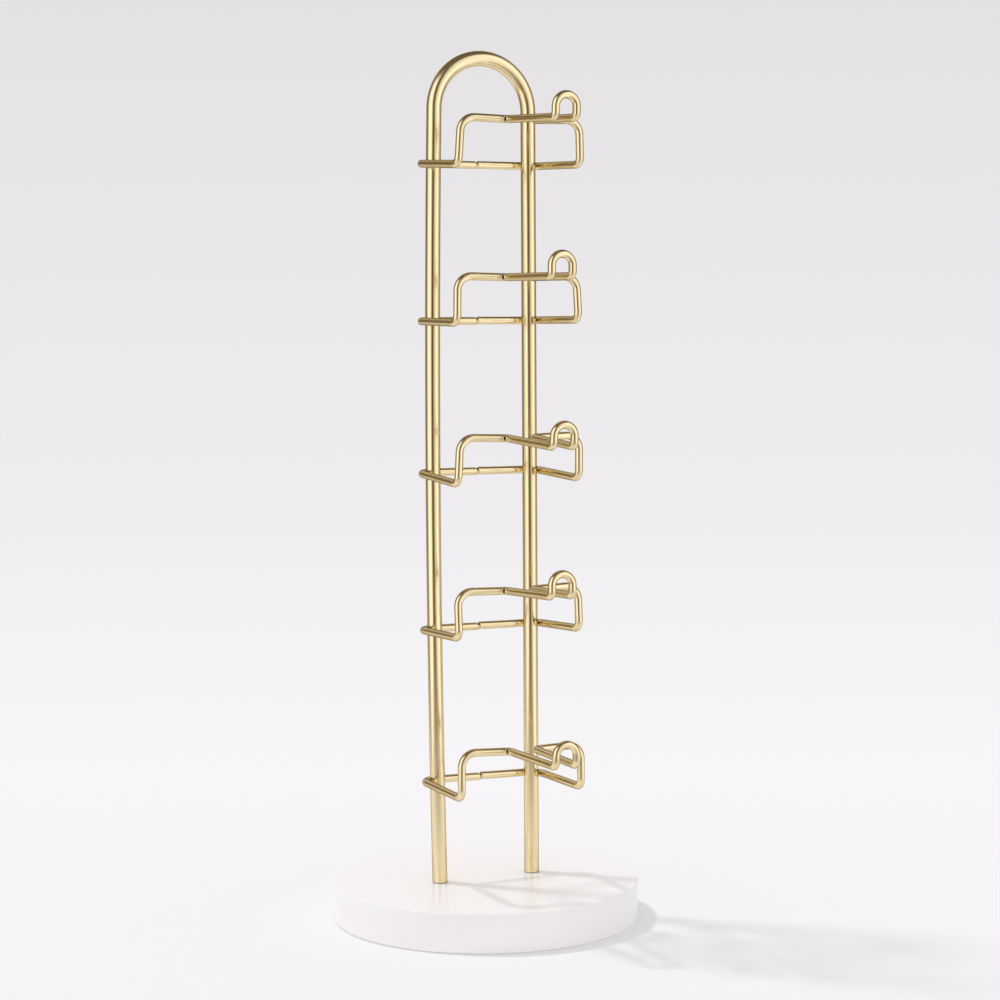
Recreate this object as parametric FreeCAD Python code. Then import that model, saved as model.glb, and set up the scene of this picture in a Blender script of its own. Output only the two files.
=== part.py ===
import FreeCAD, Part

import math
import os

# Free-standing stand for five pairs of glasses.
# A round board carries one rod bent into a tall inverted U. Five bent-wire
# holders are welded one above the other behind the two legs of the U. Each
# holder runs forward outside the legs, steps up, and ends in two prongs that
# are joined by a small arch, which goes under the bridge of the glasses.
#
# Millimetres. The origin is the centre of the underside of the base, +Z is
# up, the two legs stand along X, and the arches point towards -Y.

# Base board and the thin sheet glued under it
base_diameter = 120.0
base_thickness = 15.0
base_edge_round = 0.5
pad_thickness = 0.4
pad_inset = 2.0

# Frame: one rod bent into an inverted U
rod_diameter = 5.8
leg_spacing = 40.0
overall_height = 338.8
left_leg_bow = 1.6

# Screws that hold the two feet of the frame from below
screw_diameter = 4.0
thread_clearance = 0.05
thread_engagement = 10.0
tapped_extra_depth = 3.0
base_hole_clearance = 0.25
washer_hole_clearance = 0.15
counterbore_diameter = 10.5
counterbore_depth = 5.0
washer_diameter = 9.0
washer_thickness = 0.8
screw_head_diameter = 8.0
screw_head_height = 2.6
screw_head_round = 0.8
recess_length = 4.4
recess_width = 0.9
recess_depth = 1.4

# Holder wire
wire_diameter = 3.0
rail_clearance = 0.1
rail_length = 38.0
rail_twist = 0.4
riser_height = 17.0
riser_lean_back = 0.7
top_bar_advance = 1.0
top_bar_drop = 0.5
prong_root_half_spacing = 5.5
prong_reach = 74.5
arch_half_width = 4.2
arch_height = 8.1

# Bends of the holder wire, measured to its centre line
rear_bend_radius = 5.8
riser_foot_bend_radius = 3.2
riser_top_bend_radius = 5.5
prong_root_crease = 0.15
arch_foot_bend_radius = 2.2

# Where the holders sit: the top one below the top of the frame, the bottom
# one above the table, and the others evenly between them
top_holder_drop = 43.4
bottom_holder_height = 55.0

# Small errors of the hand-set holders, top one first
height_error = (0.0, -0.3, 1.0, -0.1, 0.1)
droop_deg = (3.3, 0.7, 3.0, -2.0, 0.3)
swing_deg = (0.8, 0.0, 0.2, 0.0, 0.3)
roll_deg = (0.2, 0.2, -0.1, 0.0, -0.7)

# Welds
weld_gap = 0.1
weld_bead_radius = 2.0
seam_width = 0.5
seam_bevel = 0.4
seam_sink = 0.25

rod_radius = rod_diameter / 2
wire_radius = wire_diameter / 2
screw_radius = screw_diameter / 2
base_radius = base_diameter / 2
foot_x = leg_spacing / 2
base_top = pad_thickness + base_thickness
arch_radius = leg_spacing / 2
arch_centre_z = overall_height - rod_radius - arch_radius
top_holder_height = overall_height - top_holder_drop
holder_pitch = (top_holder_height - bottom_holder_height) / (len(height_error) - 1)
back_bar_y = rod_radius + weld_gap + wire_radius
holder_half_width = foot_x + left_leg_bow / 2 + rod_radius + rail_clearance + wire_radius
prong_root_radius = wire_radius + prong_root_crease

up = FreeCAD.Vector(0, 0, 1)


def point(x, y, z):
    return FreeCAD.Vector(x, y, z)


def cylinder_up(radius, height, x, y, z):
    return Part.makeCylinder(radius, height, point(x, y, z), up)


def left_leg_circle():
    # The bowed left leg is one flat arc. It leaves the top arch along a
    # tangent and comes back to the foot. Returns where it leaves the arch,
    # its centre and its radius.
    leg_height = arch_centre_z - base_top
    splay = 2 * math.atan(2 * left_leg_bow / leg_height)
    inward = point(math.cos(splay), 0, -math.sin(splay))
    start = point(0, 0, arch_centre_z) - inward * arch_radius
    foot = point(-foot_x, 0, base_top)
    span = foot - start
    radius = span.dot(span) / (2 * span.dot(inward))
    return start, start + inward * radius, radius


def left_leg_x(z):
    centre = left_leg_circle()[1]
    radius = left_leg_circle()[2]
    return centre.x - math.sqrt(radius ** 2 - (z - centre.z) ** 2)


def make_base_disc():
    disc = cylinder_up(base_radius, base_thickness, 0, 0, pad_thickness)
    rims = [
        edge for edge in disc.Edges
        if edge.Closed and abs(edge.Curve.Radius - base_radius) < 0.001
    ]
    disc = disc.makeFillet(base_edge_round, rims)
    for x in (-foot_x, foot_x):
        hole_radius = screw_radius + base_hole_clearance
        disc = disc.cut(cylinder_up(hole_radius, base_thickness, x, 0, pad_thickness))
        pocket = cylinder_up(counterbore_diameter / 2, counterbore_depth, x, 0, pad_thickness)
        disc = disc.cut(pocket)
    return disc


def make_base_pad():
    return cylinder_up(base_radius - pad_inset, pad_thickness, 0, 0, 0)


def make_u_frame():
    # The path starts below the left foot, so that the foot can be cut off
    # level with the top of the base.
    start, centre, radius = left_leg_circle()
    low_z = base_top - rod_radius
    mid_z = (low_z + start.z) / 2
    low_end = point(left_leg_x(low_z), 0, low_z)
    middle = point(left_leg_x(mid_z), 0, mid_z)
    crown = point(0, 0, arch_centre_z + arch_radius)
    right_top = point(arch_radius, 0, arch_centre_z)
    right_end = point(arch_radius, 0, base_top)
    path = Part.Wire([
        Part.Arc(low_end, middle, start).toShape(),
        Part.Arc(start, crown, right_top).toShape(),
        Part.LineSegment(right_top, right_end).toShape(),
    ])
    along_leg = up.cross(low_end - centre).cross(low_end - centre)
    section = Part.Wire([Part.makeCircle(rod_radius, low_end, along_leg)])
    rod = path.makePipeShell([section], True, False)
    below = Part.makeBox(
        2 * base_radius, 2 * base_radius, base_top,
        point(-base_radius, -base_radius, 0),
    )
    rod = rod.cut(below)
    tapped_depth = thread_engagement + tapped_extra_depth
    for x in (-foot_x, foot_x):
        rod = rod.cut(cylinder_up(screw_radius, tapped_depth, x, 0, base_top))
    return rod


def make_screw(x):
    # Pan head in the counterbore, plain shank for the thread, cross recess.
    seat_z = pad_thickness + counterbore_depth - washer_thickness
    head_z = seat_z - screw_head_height
    head = cylinder_up(screw_head_diameter / 2, screw_head_height, x, 0, head_z)
    lower_rim = [
        edge for edge in head.Edges
        if edge.Closed and edge.CenterOfMass.z < head_z + screw_head_height / 4
    ]
    head = head.makeFillet(screw_head_round, lower_rim)
    shank_length = base_top + thread_engagement - seat_z
    shank = cylinder_up(screw_radius - thread_clearance, shank_length, x, 0, seat_z)
    screw = head.fuse(shank)
    for length_x, length_y in ((recess_length, recess_width), (recess_width, recess_length)):
        slot = Part.makeBox(
            length_x, length_y, recess_depth,
            point(x - length_x / 2, -length_y / 2, head_z),
        )
        screw = screw.cut(slot)
    return screw


def make_washer(x):
    floor_z = pad_thickness + counterbore_depth
    z = floor_z - washer_thickness
    ring = cylinder_up(washer_diameter / 2, washer_thickness, x, 0, z)
    hole = cylinder_up(screw_radius + washer_hole_clearance, washer_thickness, x, 0, z)
    return ring.cut(hole)


def holder_height(index):
    return top_holder_height - index * holder_pitch + height_error[index]


def holder_centre_x(index):
    # Each holder is centred between the two legs at its own height.
    return (left_leg_x(holder_height(index)) + foot_x) / 2


def place_on_frame(index, x, reach, z):
    # Turns a point of the flat drawing of a holder (x across, reach forward
    # of the back bar, z up) into its place on the frame, with the small
    # errors of that holder. The back bar stays against both legs.
    droop = math.radians(droop_deg[index])
    roll = math.radians(roll_deg[index])
    across = x + reach * math.tan(math.radians(swing_deg[index]))
    ahead = reach * math.cos(droop) + z * math.sin(droop)
    rise = z * math.cos(droop) - reach * math.sin(droop)
    return point(
        holder_centre_x(index) + across * math.cos(roll) - rise * math.sin(roll),
        back_bar_y - ahead,
        holder_height(index) + across * math.sin(roll) + rise * math.cos(roll),
    )


def holder_corners():
    # Right half of the holder from the seam to the arch: each corner of the
    # wire with the radius of its bend.
    riser_top_reach = rail_length - riser_lean_back
    prong_z = riser_height - top_bar_drop
    return [
        (holder_half_width, 0, 0, rear_bend_radius),
        (holder_half_width, rail_length, rail_twist, riser_foot_bend_radius),
        (holder_half_width, riser_top_reach, riser_height, riser_top_bend_radius),
        (prong_root_half_spacing, riser_top_reach + top_bar_advance, prong_z, prong_root_radius),
        (arch_half_width, prong_reach, prong_z, arch_foot_bend_radius),
        (arch_half_width, prong_reach, prong_z + arch_height, arch_half_width),
    ]


def rounded_path(points, radii):
    # Straight runs joined by tangent arcs; radii belong to the inner points.
    edges = []
    run_start = points[0]
    for before, corner, after, radius in zip(points, points[1:], points[2:], radii):
        back = (before - corner).normalize()
        ahead = (after - corner).normalize()
        half_angle = back.getAngle(ahead) / 2
        setback = radius / math.tan(half_angle)
        bisector = (back + ahead).normalize()
        centre = corner + bisector * (radius / math.sin(half_angle))
        arc_start = corner + back * setback
        arc_end = corner + ahead * setback
        if run_start.distanceToPoint(arc_start) > 0.001:
            edges.append(Part.LineSegment(run_start, arc_start).toShape())
        edges.append(Part.Arc(arc_start, centre - bisector * radius, arc_end).toShape())
        run_start = arc_end
    edges.append(Part.LineSegment(run_start, points[-1]).toShape())
    return Part.Wire(edges)


def make_holder(index):
    # One wire from seam to seam: back bar, rail, riser, top bar, prong,
    # arch, and the same again on the left.
    right = holder_corners()
    left = [(-x, reach, z, radius) for x, reach, z, radius in reversed(right)]
    left[-2] = (-holder_half_width, rail_length, -rail_twist, riser_foot_bend_radius)
    corners = right + left
    seam_x = seam_width / 2
    flat = [(seam_x, 0, 0)] + [corner[:3] for corner in corners] + [(-seam_x, 0, 0)]
    points = [place_on_frame(index, x, reach, z) for x, reach, z in flat]
    path = rounded_path(points, [corner[3] for corner in corners])
    section = Part.Wire([Part.makeCircle(wire_radius, points[0], points[1] - points[0])])
    wire = path.makePipeShell([section], True, False)
    full_section = math.pi * wire_radius ** 2
    print("holder", index + 1, "wire length", round(path.Length, 1),
          "volume over section times length", round(wire.Volume / full_section / path.Length, 5))
    seam = place_on_frame(index, 0, 0, 0)
    ends = [
        edge for edge in wire.Edges
        if edge.Closed and edge.CenterOfMass.distanceToPoint(seam) < seam_width
    ]
    return wire.makeChamfer(seam_bevel, ends)


def make_seam_weld(index, holder):
    # Butt weld between the two bevelled ends of the holder wire. It lies low,
    # flush with the wire underneath, and leaves a small notch on top.
    half_length = seam_width / 2 + seam_bevel
    left_end = place_on_frame(index, -half_length, 0, -seam_sink)
    right_end = place_on_frame(index, half_length, 0, -seam_sink)
    plug = Part.makeCylinder(
        wire_radius - seam_sink, 2 * half_length, left_end, right_end - left_end
    )
    return plug.cut(holder)


def right_leg_x(z):
    return foot_x


def make_leg_weld(index, leg_x):
    # Bead in the corner between a leg and the back bar that crosses it. It is
    # cut to short straight lengths of the rod and the wire. Its seam line is
    # turned out of the thin middle, into one of the four thick corners.
    from_centre = leg_x(holder_height(index)) - holder_centre_x(index)
    crossing = place_on_frame(index, from_centre, 0, 0)
    bead_centre = point(crossing.x, rod_radius + weld_gap / 2, crossing.z)
    bead = Part.makeSphere(weld_bead_radius, bead_centre, crossing - bead_centre)
    bead.rotate(bead_centre, crossing - bead_centre, 45)
    low_z = crossing.z - 2 * weld_bead_radius
    high_z = crossing.z + 2 * weld_bead_radius
    leg_low = point(leg_x(low_z), 0, low_z)
    leg_high = point(leg_x(high_z), 0, high_z)
    bar_left = place_on_frame(index, from_centre - 2 * weld_bead_radius, 0, 0)
    bar_right = place_on_frame(index, from_centre + 2 * weld_bead_radius, 0, 0)
    for radius, start, end in (
        (rod_radius, leg_low, leg_high),
        (wire_radius, bar_left, bar_right),
    ):
        length = start.distanceToPoint(end)
        bead = bead.cut(Part.makeCylinder(radius, length, start, end - start))
    return bead


def export(shape, node):
    shape.exportStep("parts/" + node + ".step")
    print(node, "solids", len(shape.Solids), "valid", shape.isValid(),
          "volume", round(shape.Volume, 2))


def main():
    os.makedirs("parts", exist_ok=True)
    export(make_base_disc(), "base_disc")
    export(make_base_pad(), "base_pad")
    export(make_u_frame(), "u_frame")
    export(Part.makeCompound([make_screw(x) for x in (-foot_x, foot_x)]), "frame_screws")
    export(Part.makeCompound([make_washer(x) for x in (-foot_x, foot_x)]), "frame_washers")
    for index in range(len(height_error)):
        number = str(index + 1)
        holder = make_holder(index)
        export(holder, "glasses_holder_" + number)
        export(make_seam_weld(index, holder), "seam_weld_" + number)
        for side, leg_x in (("left", left_leg_x), ("right", right_leg_x)):
            export(make_leg_weld(index, leg_x), side + "_leg_weld_" + number)


main()
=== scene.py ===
import math
from collections import namedtuple

import bmesh
import bpy
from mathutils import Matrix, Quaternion, Vector, noise


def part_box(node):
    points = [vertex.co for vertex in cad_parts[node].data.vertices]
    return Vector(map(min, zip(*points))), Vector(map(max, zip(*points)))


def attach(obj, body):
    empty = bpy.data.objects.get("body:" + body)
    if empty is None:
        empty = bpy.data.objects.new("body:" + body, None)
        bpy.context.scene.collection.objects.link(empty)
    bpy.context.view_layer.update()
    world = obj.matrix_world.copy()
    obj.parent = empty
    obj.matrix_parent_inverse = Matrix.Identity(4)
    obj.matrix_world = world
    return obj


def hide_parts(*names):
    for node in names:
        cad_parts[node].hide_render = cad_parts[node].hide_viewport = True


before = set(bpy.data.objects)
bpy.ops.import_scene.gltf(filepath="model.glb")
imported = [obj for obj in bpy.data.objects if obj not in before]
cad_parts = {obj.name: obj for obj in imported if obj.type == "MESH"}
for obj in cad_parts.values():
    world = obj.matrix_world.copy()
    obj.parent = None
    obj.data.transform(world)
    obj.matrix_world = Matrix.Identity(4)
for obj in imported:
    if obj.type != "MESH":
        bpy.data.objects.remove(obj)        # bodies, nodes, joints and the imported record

bl_info = {
    "name": "Glasses stand",
    "version": (1, 0, 0),
    "blender": (4, 5, 0),
    "location": "3D View > Sidebar > Glasses stand",
    "description": "A gold wire stand for glasses on a round white base board",
    "category": "Add Mesh",
}

# Metres. The origin is the centre of the underside of the base, +Z is up, the
# two legs stand along X, and the arches of the holders point towards -Y.

MM = 0.001
HOLDERS = 5


def number(name, value, description, **settings):
    return bpy.props.FloatProperty(name=name, description=description, default=value, **settings)


def numbers(name, values, description, **settings):
    return bpy.props.FloatVectorProperty(
        name=name, description=description, default=values, size=len(values), **settings,
    )


def length(name, millimetres, description):
    return number(name, millimetres * MM, description, min=0.0, precision=5, unit="LENGTH")


def lengths(name, millimetres, description):
    metres = [value * MM for value in millimetres]
    return numbers(name, metres, description, precision=5, unit="LENGTH")


def angle(name, degrees, description):
    return number(name, math.radians(degrees), description, unit="ROTATION")


def angles(name, degrees, description):
    radians = [math.radians(value) for value in degrees]
    return numbers(name, radians, description, unit="ROTATION")


def share(name, value, description):
    return number(name, value, description, min=0.0, max=1.0, subtype="FACTOR")


def colour(name, value, description):
    return numbers(name, value, description, min=0.0, max=1.0, subtype="COLOR")


def position(name, place, description):
    return numbers(name, place, description, subtype="XYZ", unit="LENGTH")


class BaseSizes(bpy.types.PropertyGroup):
    diameter: length("Diameter", 120.0, "Across the round base board")
    thickness: length("Thickness", 15.0, "Thickness of the base board")
    rim_round: length("Rim rounding", 0.5, "Radius of both rims of the board")
    pad_thickness: length("Pad thickness", 0.4, "Thickness of the grip sheet under the board")
    pad_inset: length("Pad inset", 2.0, "From the side of the board to the edge of the sheet")
    bore: length("Bore", 4.5, "Diameter of the two screw holes")
    counterbore: length("Counterbore", 10.5, "Diameter of the two pockets for the screw heads")
    counterbore_depth: length("Counterbore depth", 5.0, "Depth of the two pockets")


class RodSizes(bpy.types.PropertyGroup):
    diameter: length("Rod diameter", 5.8, "Diameter of the frame rod")
    leg_spacing: length("Leg spacing", 40.0, "Between the centre lines of the two feet")
    overall_height: length("Overall height", 338.8, "From the table to the top of the rod")
    left_bow: length("Left leg bow", 1.6, "How far the left leg bows outwards")
    foot_chamfer: length("Foot chamfer", 0.15, "Broken edge of the square-cut feet")
    tapped_hole: length("Tapped hole", 4.0, "Diameter of the hole up each foot")
    tapped_depth: length("Tapped depth", 13.0, "Depth of the hole up each foot")


class HolderSizes(bpy.types.PropertyGroup):
    wire: length("Wire diameter", 3.0, "Diameter of the holder wire")
    rail_clearance: length("Rail clearance", 0.1, "Between a rail and the leg it passes")
    rail_length: length("Rail length", 38.0, "From the back bar to the risers")
    rail_twist: length("Rail twist", 0.4, "How much the right rail rises and the left one falls")
    riser_height: length("Riser height", 17.0, "From the rails to the top bar")
    riser_lean: length("Riser lean", 0.7, "How far the risers lean back")
    bar_advance: length("Bar advance", 1.0, "How far the middle of the top bar stands forward")
    bar_drop: length("Bar drop", 0.5, "How far the middle of the top bar hangs down")
    prong_root: length("Prong root", 5.5, "From the middle to where a prong leaves the bar")
    prong_reach: length("Prong reach", 74.5, "From the back bar to the arch")
    arch_half_width: length("Arch half width", 4.2, "From the middle to a side of the arch")
    arch_height: length("Arch height", 8.1, "From the prongs to the top of the arch")
    rear_bend: length("Rear bend", 5.8, "Radius of the bend behind the frame")
    riser_foot_bend: length("Riser foot bend", 3.2, "Radius of the bend from rail to riser")
    riser_top_bend: length("Riser top bend", 5.5, "Radius of the bend from riser to top bar")
    root_crease: length("Root crease", 0.15, "Inside radius of the tight bend at a prong root")
    arch_foot_bend: length("Arch foot bend", 2.2, "Radius of the bend from prong to arch")
    top_drop: length("Top holder drop", 43.4, "From the top of the frame to the top back bar")
    bottom_height: length("Bottom height", 55.0, "From the table to the bottom back bar")
    height_error: lengths("Height error", (0.0, -0.3, 1.0, -0.1, 0.1), "Of each hand-set holder")
    droop: angles("Droop", (3.3, 0.7, 3.0, -2.0, 0.3), "How far each holder hangs down in front")
    swing: angles("Swing", (0.8, 0.0, 0.2, 0.0, 0.3), "How far each holder is turned sideways")
    roll: angles("Roll", (0.2, 0.2, -0.1, 0.0, -0.7), "How far each holder leans to one side")
    left_tuck: lengths("Left tuck", (1.1, 0.5, 0.8, 0.0, 0.2), "How far left risers lean inwards")
    right_tuck: lengths("Right tuck", (0.45, 0.55, 0.0, 0.0, 0.0), "How far right risers lean in")


class WeldSizes(bpy.types.PropertyGroup):
    gap: length("Gap", 0.1, "Between a leg and the back bar that crosses it")
    bead_reach: length("Bead reach", 2.3, "How far a bead runs out from the crossing")
    bead_fillet: length("Bead fillet", 1.5, "Size of the fillet of a bead")
    seam_width: length("Seam width", 0.5, "Between the two ends of a holder wire")
    seam_bevel: length("Seam bevel", 0.4, "Bevel of the two ends of a holder wire")
    seam_sink: length("Seam sink", 0.25, "How low the butt weld lies in the seam")
    seam_step: lengths("Seam step", (0.12, 0.16, 0.2, 0.34, 0.3), "How far the wire ends miss")
    seam_spring: length("Seam spring", 14.0, "How far from the seam the ends are sprung")


class Finishes(bpy.types.PropertyGroup):
    gold: colour("Gold", (0.94, 0.80, 0.51), "Pale gold plating of rod and wire")
    gold_deep: colour("Deep gold", (0.91, 0.75, 0.44), "Gold where the plating is thicker")
    # Painted shade: this dark gold is painted into creases, the seams and the feet, where shade falls.
    gold_painted_shade: colour("Gold painted shade", (0.10, 0.072, 0.04), "Painted shade in creases, seams and at the feet")
    gold_edge: colour("Gold edge", (0.28, 0.24, 0.18), "Tint of the gold where it is seen edge on")
    gold_roughness: share("Gold roughness", 0.17, "Blur of the reflections in the gold")
    board: colour("Board", (0.97, 0.95, 0.945), "White lacquer of the base board")
    board_roughness: share("Board roughness", 0.24, "Blur of the reflections in the lacquer")
    pad: colour("Pad", (0.03, 0.03, 0.03), "Dark grip sheet")
    steel: colour("Steel", (0.62, 0.62, 0.63), "Zinc plated screws and washers")


class Studio(bpy.types.PropertyGroup):
    floor: colour("Floor", (0.925, 0.915, 0.93), "Pale floor")
    near_shade: colour("Near shade", (0.39, 0.36, 0.31), "Floor near the camera, as the gold mirrors it")
    floor_glow: share("Floor glow", 0.05, "Part of the floor's brightness that takes no shadow")
    gap_glow: share("Gap glow", 0.3, "The same, in the gap under the rim of the board")
    backdrop_low: colour("Low backdrop", (0.855, 0.84, 0.86), "Backdrop a hand above the floor")
    backdrop: colour("Backdrop", (0.765, 0.75, 0.76), "Backdrop above the picture")
    sky: colour("Sky", (0.67, 0.665, 0.67), "Soft light from above")
    fill: colour("Fill", (1.0, 0.995, 1.0), "Soft light from low in front")
    screen: colour("Screen", (1.0, 1.0, 1.0), "Light screens at the sides, as the gold mirrors them")
    room: colour("Room", (0.12, 0.078, 0.018), "Dark room behind the camera, as the gold mirrors it")
    flag: colour("Flag", (0.25, 0.19, 0.125), "Flags beside the backdrop, as the gold mirrors them")
    ceiling: colour("Ceiling", (0.15, 0.12, 0.085), "Dark ceiling, as the gold mirrors it")
    key_strength: number("Key light", 0.85, "Strength of the key light", min=0.0)
    key_soft: angle("Key softness", 6.0, "How wide the key light looks from the stand")
    lens: number("Lens", 84.438, "Focal length for a sensor 36 mm wide", min=1.0, unit="CAMERA")
    camera_place: position("Camera", (-0.384873, -0.830914, 0.231136), "Where the camera stands")
    camera_target: position("Target", (0.0056842, -0.0027794, 0.1649385), "Middle of the picture")
    camera_roll: angle("Camera roll", 0.3424, "Turn of the camera about its line of sight")


GROUPS = (
    ("stand_base", BaseSizes, "Base board"),
    ("stand_rod", RodSizes, "Frame rod"),
    ("stand_holder", HolderSizes, "Glasses holders"),
    ("stand_weld", WeldSizes, "Welds"),
    ("stand_finish", Finishes, "Finishes"),
    ("stand_studio", Studio, "Studio"),
)


# Where the frame rod and the holders run

def base_top(scene):
    return scene.stand_base.pad_thickness + scene.stand_base.thickness


def left_leg_arc(scene):
    """The flat arc of the bowed left leg.

    Gives its centre, its radius, the height where it meets the top arch, and
    how far the leg leans there.
    """
    rod = scene.stand_rod
    arch_radius = rod.leg_spacing / 2
    arch_z = rod.overall_height - rod.diameter / 2 - arch_radius
    foot_z = base_top(scene)
    splay = 2 * math.atan(2 * rod.left_bow / (arch_z - foot_z))
    inward_x = math.cos(splay)
    inward_z = -math.sin(splay)
    start_x = -inward_x * arch_radius
    start_z = arch_z - inward_z * arch_radius
    span_x = -arch_radius - start_x
    span_z = foot_z - start_z
    radius = (span_x ** 2 + span_z ** 2) / (2 * (span_x * inward_x + span_z * inward_z))
    return start_x + inward_x * radius, start_z + inward_z * radius, radius, start_z, splay


def left_leg_x(scene, z):
    centre_x, centre_z, radius = left_leg_arc(scene)[:3]
    return centre_x - math.sqrt(radius ** 2 - (z - centre_z) ** 2)


def holder_height(scene, index):
    """The holders hang evenly between the top and the bottom one, apart from small errors."""
    holder = scene.stand_holder
    top = scene.stand_rod.overall_height - holder.top_drop
    pitch = (top - holder.bottom_height) / (HOLDERS - 1)
    return top - index * pitch + holder.height_error[index]


def holder_centre_x(scene, index):
    """Each holder is centred between the two legs at its own height."""
    half_spacing = scene.stand_rod.leg_spacing / 2
    return (left_leg_x(scene, holder_height(scene, index)) + half_spacing) / 2


def place_on_frame(scene, index, x, reach, z):
    """Turns a point of the flat drawing of a holder into its place on the frame."""
    holder = scene.stand_holder
    droop = holder.droop[index]
    roll = holder.roll[index]
    back_bar_y = scene.stand_rod.diameter / 2 + scene.stand_weld.gap + holder.wire / 2
    across = x + reach * math.tan(holder.swing[index])
    ahead = reach * math.cos(droop) + z * math.sin(droop)
    rise = z * math.cos(droop) - reach * math.sin(droop)
    return Vector((
        holder_centre_x(scene, index) + across * math.cos(roll) - rise * math.sin(roll),
        back_bar_y - ahead,
        holder_height(scene, index) + across * math.sin(roll) + rise * math.cos(roll),
    ))


def holder_corners(scene, index, side):
    """Corners of half a holder, from the seam to the arch: x, reach, z and bend radius.

    The side is 1 for the right half and -1 for the left one.
    """
    holder = scene.stand_holder
    rod = scene.stand_rod
    half_width = (rod.leg_spacing + rod.left_bow + rod.diameter + holder.wire) / 2
    half_width += holder.rail_clearance
    tuck = (holder.right_tuck if side > 0 else holder.left_tuck)[index]
    top_reach = holder.rail_length - holder.riser_lean
    prong_z = holder.riser_height - holder.bar_drop
    arch_top = prong_z + holder.arch_height
    root_bend = holder.wire / 2 + holder.root_crease
    return [
        (side * half_width, 0.0, 0.0, holder.rear_bend),
        (side * half_width, holder.rail_length, side * holder.rail_twist, holder.riser_foot_bend),
        (side * (half_width - tuck), top_reach, holder.riser_height, holder.riser_top_bend),
        (side * holder.prong_root, top_reach + holder.bar_advance, prong_z, root_bend),
        (side * holder.arch_half_width, holder.prong_reach, prong_z, holder.arch_foot_bend),
        (side * holder.arch_half_width, holder.prong_reach, arch_top, holder.arch_half_width),
    ]


# Centre lines of rod and wire

RUN_STEP = 2.0 * MM
BEND_STEP = math.radians(5)
SAME_PLACE = 0.001 * MM

# Flattening where the bend radius is that of the wire. It shrinks with the
# square of the bend radius. The hair tells a crease which way is out.
BEND_SQUEEZE = 0.05
HAIR = 0.001

# Below this bend radius, in wire radii, the inside of a bend is creased. The
# depth is in wire radii too. Beside the bend the dent turns into a swelling.
TIGHT_BEND = 1.2
CREASE_DEPTH = 0.34
CREASE_REACH = 0.9 * MM
CREASE_SWELLING = 5
CREASE_STEPS = 12

# A point of a centre line: where it is, which way the wire runs, how much and
# which way a bend flattens the wire, and how deep a tight bend creases it.
PathPoint = namedtuple("PathPoint", "place direction squeeze crease", defaults=(Vector(), 0.0))


def straight_run(path, start, end):
    """Adds the points between the ends of a straight run to a path."""
    run = end - start
    steps = max(1, round(run.length / RUN_STEP))
    for step in range(1, steps):
        path.append(PathPoint(start + run * (step / steps), run.normalized()))


def crease_run(bend_end, away, direction, centre):
    """Points beside a tight bend, from the bend outwards, along which its crease runs out."""
    outward = (bend_end - centre).normalized() * HAIR
    points = []
    for step in range(1, CREASE_STEPS + 1):
        gone = step / CREASE_STEPS
        crease = CREASE_DEPTH * (1 - gone ** 2) ** 2 * (1 - CREASE_SWELLING * gone ** 2)
        place = bend_end + away * (CREASE_REACH * step / CREASE_STEPS)
        points.append(PathPoint(place, direction, outward, crease))
    return points


def bent_path(points, radii, wire_radius):
    """Centre line of a bent wire: straight runs joined by round bends."""
    path = [PathPoint(points[0], (points[1] - points[0]).normalized())]
    for before, corner, after, radius in zip(points, points[1:], points[2:], radii):
        back = (before - corner).normalized()
        ahead = (after - corner).normalized()
        half_angle = back.angle(ahead) / 2
        setback = radius / math.tan(half_angle)
        bisector = (back + ahead).normalized()
        centre = corner + bisector * (radius / math.sin(half_angle))
        bend_start = corner + back * setback
        tight = radius < TIGHT_BEND * wire_radius
        run_end = bend_start + back * CREASE_REACH if tight else bend_start
        straight_run(path, path[-1].place, run_end)
        if tight:
            path += reversed(crease_run(bend_start, back, -back, centre))
        turn = math.pi - 2 * half_angle
        axis = ahead.cross(back)
        steps = max(4, math.ceil(turn / BEND_STEP))
        squeeze = BEND_SQUEEZE * (wire_radius / radius) ** 2
        crease = CREASE_DEPTH if tight else 0.0
        for step in range(steps + 1):
            spin = Quaternion(axis, turn * step / steps)
            spoke = spin @ (bend_start - centre)
            flattening = spoke.normalized() * (HAIR + squeeze * math.sin(math.pi * step / steps))
            path.append(PathPoint(centre + spoke, spin @ -back, flattening, crease))
        if tight:
            path += crease_run(path[-1].place, ahead, ahead, centre)
    straight_run(path, path[-1].place, points[-1])
    path.append(PathPoint(points[-1], (points[-1] - points[-2]).normalized()))
    return path


def without_repeats(path):
    """Leaves out points of a path that lie on the point before them."""
    kept = [path[0]]
    for entry in path[1:]:
        if (entry.place - kept[-1].place).length > SAME_PLACE:
            kept.append(entry)
    return kept


def carried_normals(path):
    """Side directions along a path. They start to the rear and turn as little as they can."""
    direction = path[0].direction
    rear = Vector((0, 1, 0))
    normals = [(rear - direction * rear.dot(direction)).normalized()]
    for before, entry in zip(path, path[1:]):
        normal = before.direction.rotation_difference(entry.direction) @ normals[-1]
        normals.append((normal - entry.direction * normal.dot(entry.direction)).normalized())
    return normals


# Skins

def ring_ways(direction, normal, sides):
    """Directions all round a path, square to it."""
    side = direction.cross(normal)
    ways = []
    for step in range(sides):
        turn = 2 * math.pi * step / sides
        ways.append(normal * math.cos(turn) + side * math.sin(turn))
    return ways


def ring_round(entry, normal, radius, sides):
    """A ring round a point of a path. A squeeze flattens it, and a crease dents its inside."""
    depth = entry.squeeze.length
    ring = []
    for way in ring_ways(entry.direction, normal, sides):
        offset = way * radius
        if depth > 0:
            outward = entry.squeeze / depth
            reach = offset.dot(outward)
            inside = max(-reach / radius, 0.0)
            offset -= outward * (reach * (depth + entry.crease * inside))
        ring.append(entry.place + offset)
    return ring


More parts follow.
